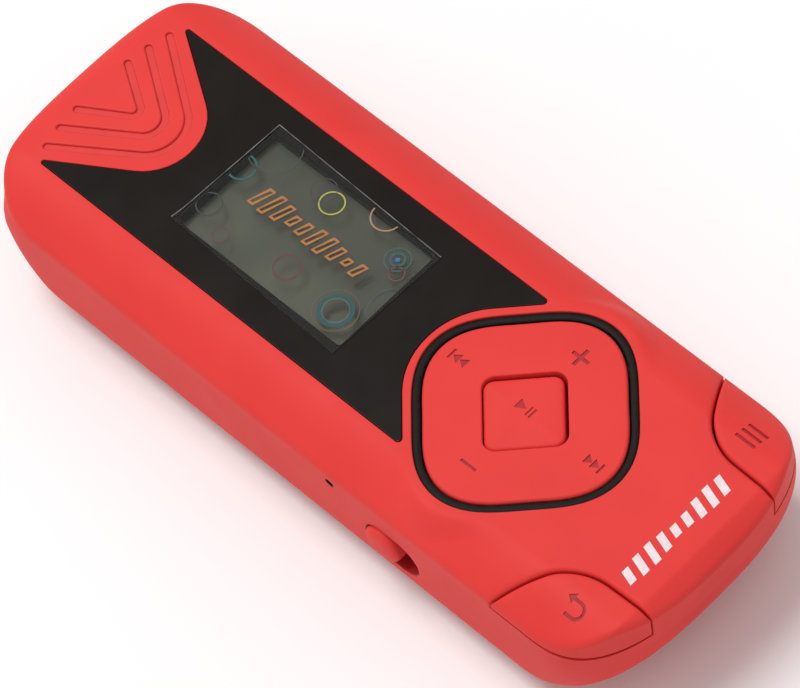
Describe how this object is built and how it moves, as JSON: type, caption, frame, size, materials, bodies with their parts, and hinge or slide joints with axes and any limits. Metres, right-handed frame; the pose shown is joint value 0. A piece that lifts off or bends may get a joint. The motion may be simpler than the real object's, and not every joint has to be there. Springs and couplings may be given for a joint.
{
  "type": "digital audio player",
  "caption": "Pocket digital audio player with a crowned shell, bow-tie display panel, rocking navigation pad, corner keys, side power slide and sprung belt clip.",
  "frame": {"origin": "on the clip's flat outer face, under the middle of the player's plan", "axes": "+Z out of the face with the keys and the display; +Y towards the display end; +X to the menu key's side, so the power slide is on the -X wall"},
  "size_m": [0.0284, 0.0754, 0.0143],
  "materials": {
    "red_plastic": "soft-touch matte",
    "black_panel": "satin",
    "black_rubber": "matte",
    "clear_plastic": "clear",
    "screen": "reflective grey-green display",
    "silicone": "translucent matte",
    "board_green": "solder mask",
    "black_plastic": "moulded",
    "steel": "plated",
    "foil": "laminated foil",
    "amber_film": "polyimide film",
    "foam": "foam",
    "lead_red": "insulated wire"
  },
  "bodies": {
    "player": {"front_housing": "red_plastic", "rear_cover": "red_plastic", "case_screw_1": "steel", "case_screw_2": "steel", "case_screw_3": "steel", "case_screw_4": "steel", "face_panel": "black_panel", "display_window": "clear_plastic", "display_film": "clear_plastic", "display_gasket": "foam", "display_module": "screen", "display_flex": "amber_film", "pad_ring": "black_rubber", "main_board": "board_green", "processor_chip": "black_plastic", "flash_chip": "black_plastic", "power_chip": "black_plastic", "microphone": "foil", "clock_crystal": "steel", "battery": "foil", "battery_tape": "foam", "battery_lead_red": "lead_red", "battery_lead_black": "black_plastic", "headphone_jack": "black_plastic", "usb_port": "steel", "usb_tongue": "black_plastic", "card_slot": "steel", "slide_switch": "steel", "plus_switch": "steel", "minus_switch": "steel", "next_switch": "steel", "previous_switch": "steel", "centre_switch": "steel", "menu_switch": "steel", "back_switch": "steel", "clip_pin": "steel", "clip_spring": "steel"},
    "key_mat": {"key_mat": "silicone"},
    "nav_pad": {"nav_pad": "red_plastic", "plus_stem": "black_plastic", "minus_stem": "black_plastic", "next_stem": "black_plastic", "previous_stem": "black_plastic"},
    "centre_key": {"centre_key": "red_plastic", "centre_stem": "black_plastic"},
    "menu_key": {"menu_key": "red_plastic", "menu_stem": "black_plastic"},
    "back_key": {"back_key": "red_plastic", "back_stem": "black_plastic"},
    "power_knob": {"power_knob": "red_plastic", "slide_switch_lever": "black_plastic"},
    "clip": {"clip": "red_plastic"}
  },
  "joints": [
    {"name": "pad_rock_up_down", "type": "hinge", "parent": "player", "child": "key_mat", "pos_m": [0, -0.0163, 0.0122], "axis": [1, 0, 0], "range_deg": [-1.8, 1.8], "stiffness_Nm_per_rad": 0.33},
    {"name": "pad_rock_left_right", "type": "hinge", "parent": "key_mat", "child": "nav_pad", "pos_m": [0, -0.0163, 0.0122], "axis": [0, 1, 0], "range_deg": [-1.8, 1.8], "stiffness_Nm_per_rad": 0.33},
    {"name": "centre_press", "type": "slide", "parent": "player", "child": "centre_key", "axis": [0, 0, -1], "range_m": [0, 0.00025], "stiffness_N_per_m": 4000},
    {"name": "menu_press", "type": "slide", "parent": "player", "child": "menu_key", "axis": [0, 0, -1], "range_m": [0, 0.00025], "stiffness_N_per_m": 4000},
    {"name": "back_press", "type": "slide", "parent": "player", "child": "back_key", "axis": [0, 0, -1], "range_m": [0, 0.00025], "stiffness_N_per_m": 4000},
    {"name": "power_slide", "type": "slide", "parent": "player", "child": "power_knob", "axis": [0, -1, 0], "range_m": [0, 0.002]},
    {"name": "clip_open", "type": "hinge", "parent": "player", "child": "clip", "pos_m": [0, 0.013, 0.00145], "axis": [1, 0, 0], "range_deg": [0, 12], "stiffness_Nm_per_rad": 0.3, "springref_deg": -10, "deforming": ["clip_spring"]}
  ]
}
